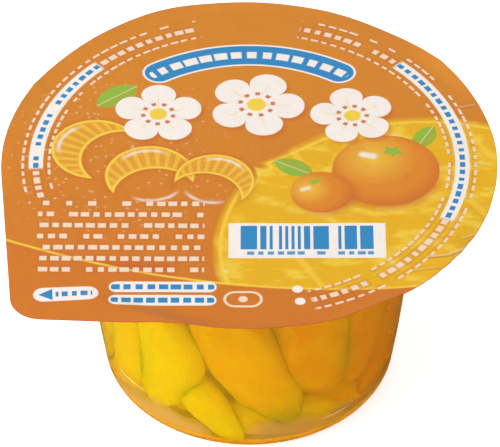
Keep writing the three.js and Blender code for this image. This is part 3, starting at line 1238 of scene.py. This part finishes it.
def band_and_panel(paper):
    """The blue band with its beads, and the white panel of random stripes with ticks under them."""
    inside = paper.inside
    bow_u, bow_v = paper.bearing * BAND_RADIUS, paper.radius - BAND_RADIUS
    band = round_bar(bow_u, bow_v, 22.5, 2.9)
    paper.stamp("white", band - 0.45)
    paper.stamp("blue", band)
    beads = paper.one_row(bow_u, bow_v, 3.2, 2.0, 1.1, 11.0)
    paper.lay("white", inside(beads, 0.2) * inside(band + 0.9))

    u, v = paper.local(11.5, -23.6)
    paper.stamp("white", plain_box(u, v, 15.6, 5.2))
    stripe = paper.random((u / 0.62).floor(), 5.0, 1.0).below(0.5)
    paper.lay("blue", stripe * inside(plain_box(u, v - 0.9, 13.2, 3.5)))
    ticks = paper.dashes(u, v + 13.7, 2.0, 20.0, 1.0, 0.85, 2.0)
    paper.lay("blue", inside(ticks) * inside(plain_box(u, v, 13.2, 5.0)), 0.9)


def small_marks(paper):
    """A block of dashes, two white bars, the arrow on the tab, a framed dot and two white dots."""
    inside, local = paper.inside, paper.local
    rows = paper.dashes(paper.x, paper.y + 60.4, 2.3, 3.3, 1.35, 0.86, 4.0)
    block = inside(plain_box(*local(-25.5, -22.3), 16.6, 11.5))
    paper.stamp("ember", rows - 0.4, 0.6, 0.35, area=block)
    paper.stamp("cream", rows, area=block)

    for y in (-37.4, -41.3):
        u, v = local(-17.0, y)
        bar = round_bar(u, v, 10.6, 1.55)
        paper.stamp("white", bar)
        marks = paper.one_row(u, v, 2.4, 1.5, 0.95, y)
        paper.lay("blue", inside(marks) * inside(bar + 0.4))

    u, v = local(-36.0, -39.6, 3.0)
    paper.stamp("white", round_bar(u, v, 6.4, 2.0))
    paper.stamp("blue", (abs(v) * 1.7 - (u + 5.4)).most(u + 2.6))
    tail = paper.one_row(u, v, 1.9, 1.4, 1.1, 8.0)
    paper.lay("blue", inside(tail) * inside(plain_box(u - 1.6, v, 3.6, 2.0)))

    u, v = local(-1.2, -41.0)
    paper.stamp("cream", abs(round_bar(u, v, 3.6, 2.1)) - 0.28)
    paper.stamp("cream", ball(u, v, 0.9))
    for x, y in ((9.5, -38.0), (10.0, -41.6)):
        paper.stamp("white", ball(*local(x, y), 1.05))


def rim_marks(paper):
    """Dashes along the rim at both sides, in part on a white collar, and a painted shade along the film's cut
    edge.
    """

    def between(middle, half):
        """1 on the part of the rim round a bearing, in radians clockwise from the back."""
        return paper.inside(abs(paper.bearing - middle) - half, 0.02)

    rim = paper.dashes(paper.bearing * BELT_RADIUS, paper.radius + 0.5, 2.25, 3.0, 1.3, 0.88, 6.0)
    belt = paper.inside(abs(paper.radius - BELT_RADIUS) - 2.9)
    rim_area = belt * between(1.55, 1.3).most(between(-1.05, 0.8))
    paper.stamp("ember", rim - 0.4, 0.6, 0.4, area=rim_area)
    paper.stamp("cream", rim, area=rim_area)
    collar = between(1.39, 0.6).most(between(-1.21, 0.41))
    collar = collar * paper.inside(abs(paper.radius - BELT_RADIUS) - 1.45)
    paper.lay("white", collar)
    paper.stamp("blue", rim + 0.1, area=collar)
    # Painted shade along the film's cut edge
    margin = paper.nodes.field("ShaderNodeAttribute", output="Fac", attribute_name="margin")
    paper.stamp("ember", margin - 0.16, 0.2, 0.45)


def creases(paper):
    """Draws the light and the shade of each crease, and returns where the film is pressed in."""
    pressed = None
    for x, y, half_length, turn, strength in CREASES:
        u, v = paper.local(x, y, turn)
        paper.stamp("cream", round_bar(u, v - 0.5, half_length, 0.2), 0.5, strength * 0.5)
        line = paper.inside(round_bar(u, v, half_length, 0.12), 0.4) * strength
        paper.lay("shade", line, 0.75)
        pressed = line if pressed is None else pressed.most(line)
    return pressed


def printed_film():
    """The lid's print, from the ground up, on a satin film with fine creases."""
    ink = inks()
    material, nodes, shader = shader_material("Printed lid film")
    place = object_millimetres(nodes)
    _, y, _ = nodes.split(place)
    # The ground brightens from the front towards the back
    ground = mix_colours(nodes, (y + 40.0).part_of(62.0), ink.low_orange, ink.orange)
    paper = Print(nodes, place, ground)
    golden_field(paper, nodes)
    fruit_and_blossoms(paper)
    band_and_panel(paper)
    small_marks(paper)
    rim_marks(paper)
    pressed = creases(paper)
    # Painted shade: the film's steep rim faces are darkened
    normal = nodes.add("ShaderNodeNewGeometry").outputs["Normal"]
    paper.lay("ember", nodes.split(normal)[2].below(0.4), 0.8)
    grain = noise(nodes, place, 1.6, detail=2.0)
    crinkle = noise(nodes, place, 0.11, detail=3.0, roughness=0.6)
    finish = {
        "Base Color": paper.colour,
        "Roughness": grain * 0.1 + crinkle * 0.16 + 0.24,
        "Normal": bumped(nodes, crinkle - pressed * 0.25, 0.35, 1.2 * MM),
        "Specular IOR Level": 0.3,
    }
    nodes.fill(shader, finish)
    return material


def film_underside():
    material, nodes, shader = shader_material("White film underside")
    tone = noise(nodes, object_millimetres(nodes), 0.3, detail=3.0)
    finish = {
        "Base Color": mix_colours(nodes, tone, (0.74, 0.73, 0.7), (0.82, 0.81, 0.79)),
        "Roughness": 0.35,
        "Normal": bumped(nodes, tone, 0.2, 0.3 * MM),
    }
    nodes.fill(shader, finish)
    return material


# Stage

WHITE = (1.0, 1.0, 1.0)

# Lamps: name, azimuth from +X and elevation in degrees, then distance, width and height in metres, and watts
LAMPS = (("key", -155, 28, 0.9, 0.8, 0.6, 6.5), ("top", 80, 75, 1.0, 0.9, 0.9, 1.6))
LAMP_TARGET = Vector((0, 0, 0.03))

# The floor's half width, and its glow: seen straight, what that loses behind clear stuff, and as light going
# up through clear stuff
FLOOR_HALF = 3.0
FLOOR_GLOW, GLOW_LOSS, UNDER_GLOW = 0.67, 0.57, 1.8

# The sky's brightest side, then its strengths: that side and the rest as light through clear stuff, and the
# whole as open light
SKY_SIDE = Vector((math.cos(math.radians(-132)), math.sin(math.radians(-132)), 0.15)).normalized()
SIDE_LIGHT, THROUGH_LIGHT, OPEN_LIGHT = 3.9, 0.8, 0.5

# The sky mirrored in a gloss, and what it gains where that gloss lies behind clear stuff
MIRROR_LIGHT, MIRROR_GAIN = 0.3, 0.35


def aimed(name, data, target, direction, distance):
    """Links a lamp or camera at a distance from its target in a direction, and turns it to the target."""
    holder = bpy.data.objects.new(name, data)
    bpy.context.scene.collection.objects.link(holder)
    holder.location = target + direction * distance
    holder.rotation_euler = direction.to_track_quat("Z", "Y").to_euler()
    return holder


def soft_light(name, azimuth, elevation, distance, width, height, watts):
    """A rectangular lamp aimed at the pack."""
    lamp = bpy.data.lights.new(name, "AREA")
    lamp.shape = "RECTANGLE"
    lamp.size, lamp.size_y = width, height
    lamp.energy = watts
    a, e = math.radians(azimuth), math.radians(elevation)
    direction = Vector((math.cos(e) * math.cos(a), math.cos(e) * math.sin(a), math.sin(e)))
    aimed(name, lamp, LAMP_TARGET, direction, distance)


def sight(nodes):
    """The Light Path node, and what a ray meets: mirrored in a gloss, seen clear, or behind clear stuff."""
    path = nodes.add("ShaderNodeLightPath")
    glossy = Field(nodes, path.outputs["Glossy Depth"])
    matt_bounces = Field(nodes, path.outputs["Ray Depth"]) - glossy - path.outputs["Transmission Depth"]
    unlit, bounced = matt_bounces.below(0.5), glossy.above(0.5)
    behind = Field(nodes, path.outputs["Transmission Depth"]).above(0.5)
    return path, unlit * bounced, unlit * (1.0 - bounced), behind


def studio_floor():
    """A white floor that reads as pure white, and is dim where it is mirrored in a gloss."""
    material, nodes, shader = shader_material("White studio floor")
    tone = noise(nodes, object_millimetres(nodes), 0.004)
    path, mirrored, clear, behind = sight(nodes)
    # The pale floor is warmer behind clear stuff, and amber where a gloss mirrors it
    pale = mix_colours(nodes, tone, (0.9, 0.9, 0.9), (0.93, 0.93, 0.93))
    pale = mix_colours(nodes, clear * behind, pale, (0.62, 0.5, 0.4))
    dim = mix_colours(nodes, behind, (0.4, 0.27, 0.08), (0.7, 0.46, 0.16))
    colour = mix_colours(nodes, mirrored, pale, dim)
    under = Field(nodes, path.outputs["Is Transmission Ray"]) * (1.0 - clear - mirrored)
    finish = {
        "Base Color": colour,
        "Roughness": 0.9,
        "Specular IOR Level": 0.0,
        "Emission Strength": clear * (FLOOR_GLOW - behind * GLOW_LOSS) + under * UNDER_GLOW,
        "Emission Color": mix_colours(nodes, under, WHITE, (1.0, 0.7, 0.2)),
    }
    nodes.fill(shader, finish)
    half = FLOOR_HALF
    corners = [(-half, -half, 0), (half, -half, 0), (half, half, 0), (-half, half, 0)]
    return new_piece("studio_floor", mesh_from("studio_floor", corners, [(0, 1, 2, 3)]), [material])


def studio_world():
    """White behind everything, a softer white as light, and dim where it is mirrored in a gloss."""
    world = bpy.data.worlds.new("Studio")
    world.use_nodes = True
    world.node_tree.nodes.clear()
    nodes = Nodes(world.node_tree)
    path, mirrored, clear, behind = sight(nodes)
    towards = nodes.add("ShaderNodeTexCoord").outputs["Generated"]
    facing = nodes.field("ShaderNodeVectorMath", {0: towards, 1: SKY_SIDE}, 1, operation="DOT_PRODUCT")
    facing = facing.most(0.0)
    through = Field(nodes, path.outputs["Is Transmission Ray"]) * (1.0 - clear)
    light = through * (facing**2.0 * SIDE_LIGHT + THROUGH_LIGHT) + OPEN_LIGHT
    strength = light * (1.0 - mirrored - clear) + clear + mirrored * (behind * MIRROR_GAIN + MIRROR_LIGHT)
    tone = mix_colours(nodes, through * (1.0 - facing), WHITE, (1.0, 0.62, 0.2))
    tone = mix_colours(nodes, mirrored, tone, (1.0, 0.72, 0.3))
    sky = nodes.add("ShaderNodeBackground", {"Color": tone, "Strength": strength})
    nodes.add("ShaderNodeOutputWorld", {0: sky.outputs[0]})
    bpy.context.scene.world = world


# Operators and panel


class JELLYCUP_OT_cup(bpy.types.Operator):
    """Make the clear cup with its flange, shoulder, wall and foot"""

    bl_idname = "jelly_cup.cup"
    bl_label = "Clear Cup"

    def execute(self, context):
        piece = turned_piece("clear_cup_shell", cup_profile(cup_sizes()), clear_plastic())
        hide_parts("cup", "cup_rim")
        ride_pack(piece)
        return {"FINISHED"}


class JELLYCUP_OT_jelly(bpy.types.Operator):
    """Make the set jelly that fills the cup"""

    bl_idname = "jelly_cup.jelly"
    bl_label = "Jelly"

    def execute(self, context):
        piece = turned_piece("amber_jelly", jelly_profile(cup_sizes(), filling()), set_jelly())
        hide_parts("jelly")
        ride_pack(piece)
        return {"FINISHED"}


class JELLYCUP_OT_segments(bpy.types.Operator):
    """Make the mandarin segments that are sunk in the jelly"""

    bl_idname = "jelly_cup.segments"
    bl_label = "Mandarin Segments"

    def execute(self, context):
        j = filling()
        places, turns, sizes, tints_and_shades = packed_segments(cup_sizes(), j)
        cloud = point_cloud("fruit_places", places, turn=np.array(turns), size=sizes, tint=tints_and_shades)
        values = {
            "Length": j.segment_length,
            "Depth": j.segment_depth,
            "Width": j.segment_width,
            "Material": juicy_fruit(),
        }
        piece = grown_piece("mandarin_segments", cloud, segments_tree(), values)
        kept_inside(piece.data, cup_sizes(), j)
        ride_pack(piece)
        return {"FINISHED"}


class JELLYCUP_OT_bubbles(bpy.types.Operator):
    """Make the few small bubbles caught in the jelly by the wall, and the rows of pale beads that paint
    highlight lines in the corner
    """

    bl_idname = "jelly_cup.bubbles"
    bl_label = "Bubbles"

    def execute(self, context):
        draw = np.random.default_rng(filling().seed + 2)
        cloud = bubble_and_glint_cloud(cup_sizes(), draw)
        values = {"Radius": BUBBLE_RADIUS * MM, "Material": bubble_shine()}
        piece = grown_piece("bubbles", cloud, bubbles_tree(), values)
        ride_pack(piece)
        return {"FINISHED"}


class JELLYCUP_OT_film(bpy.types.Operator):
    """Make the printed lid film with its pull tab"""

    bl_idname = "jelly_cup.film"
    bl_label = "Lid Film"

    def execute(self, context):
        mesh = film_mesh(film_sizes(), cup_sizes())
        piece = new_piece("printed_lid_film", mesh, [printed_film(), film_underside()])
        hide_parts("lid_film")
        ride_pack(piece)
        return {"FINISHED"}


class JELLYCUP_OT_stage(bpy.types.Operator):
    """Set up the camera, the pale floor and the soft light"""

    bl_idname = "jelly_cup.stage"
    bl_label = "Studio"

    def execute(self, context):
        s = context.scene.jelly_cup_stage
        lens = bpy.data.cameras.new("camera")
        lens.sensor_width = 36.0
        lens.lens = s.camera_lens
        lens.clip_end = 20.0
        target = Vector((s.target_side, 0, s.target_height))
        direction = Vector((0, -math.cos(s.camera_elevation), math.sin(s.camera_elevation)))
        camera = aimed("camera", lens, target, direction, s.camera_distance)
        context.scene.camera = camera
        studio_floor()
        studio_world()
        for lamp in LAMPS:
            soft_light(*lamp)
        context.scene.view_settings.view_transform = "Standard"
        context.scene.view_settings.look = "None"
        context.scene.view_settings.exposure = 0.0
        return {"FINISHED"}


OPERATORS = (
    JELLYCUP_OT_stage,
    JELLYCUP_OT_cup,
    JELLYCUP_OT_jelly,
    JELLYCUP_OT_segments,
    JELLYCUP_OT_bubbles,
    JELLYCUP_OT_film,
)


class JELLYCUP_PT_build(bpy.types.Panel):
    """Lists the pieces and their settings"""

    bl_idname = "JELLYCUP_PT_build"
    bl_label = "Jelly Cup"
    bl_space_type = "VIEW_3D"
    bl_region_type = "UI"
    bl_category = "Jelly Cup"

    def draw(self, context):
        for operator in OPERATORS:
            self.layout.operator(operator.bl_idname)
        for name, group in PROPERTY_GROUPS.items():
            box = self.layout.box()
            box.label(text=group.__doc__)
            for setting in group.__annotations__:
                box.prop(getattr(context.scene, name), setting)


def register():
    for group in PROPERTY_GROUPS.values():
        bpy.utils.register_class(group)
    for name, group in PROPERTY_GROUPS.items():
        setattr(bpy.types.Scene, name, bpy.props.PointerProperty(type=group))
    for cls in (*OPERATORS, JELLYCUP_PT_build):
        bpy.utils.register_class(cls)


def unregister():
    for cls in reversed((*OPERATORS, JELLYCUP_PT_build)):
        bpy.utils.unregister_class(cls)
    for name in PROPERTY_GROUPS:
        delattr(bpy.types.Scene, name)
    for group in PROPERTY_GROUPS.values():
        bpy.utils.unregister_class(group)


def main():
    register()
    bpy.ops.jelly_cup.stage()
    bpy.ops.jelly_cup.cup()
    bpy.ops.jelly_cup.jelly()
    bpy.ops.jelly_cup.segments()
    bpy.ops.jelly_cup.bubbles()
    bpy.ops.jelly_cup.film()


if __name__ == "__main__":
    main()
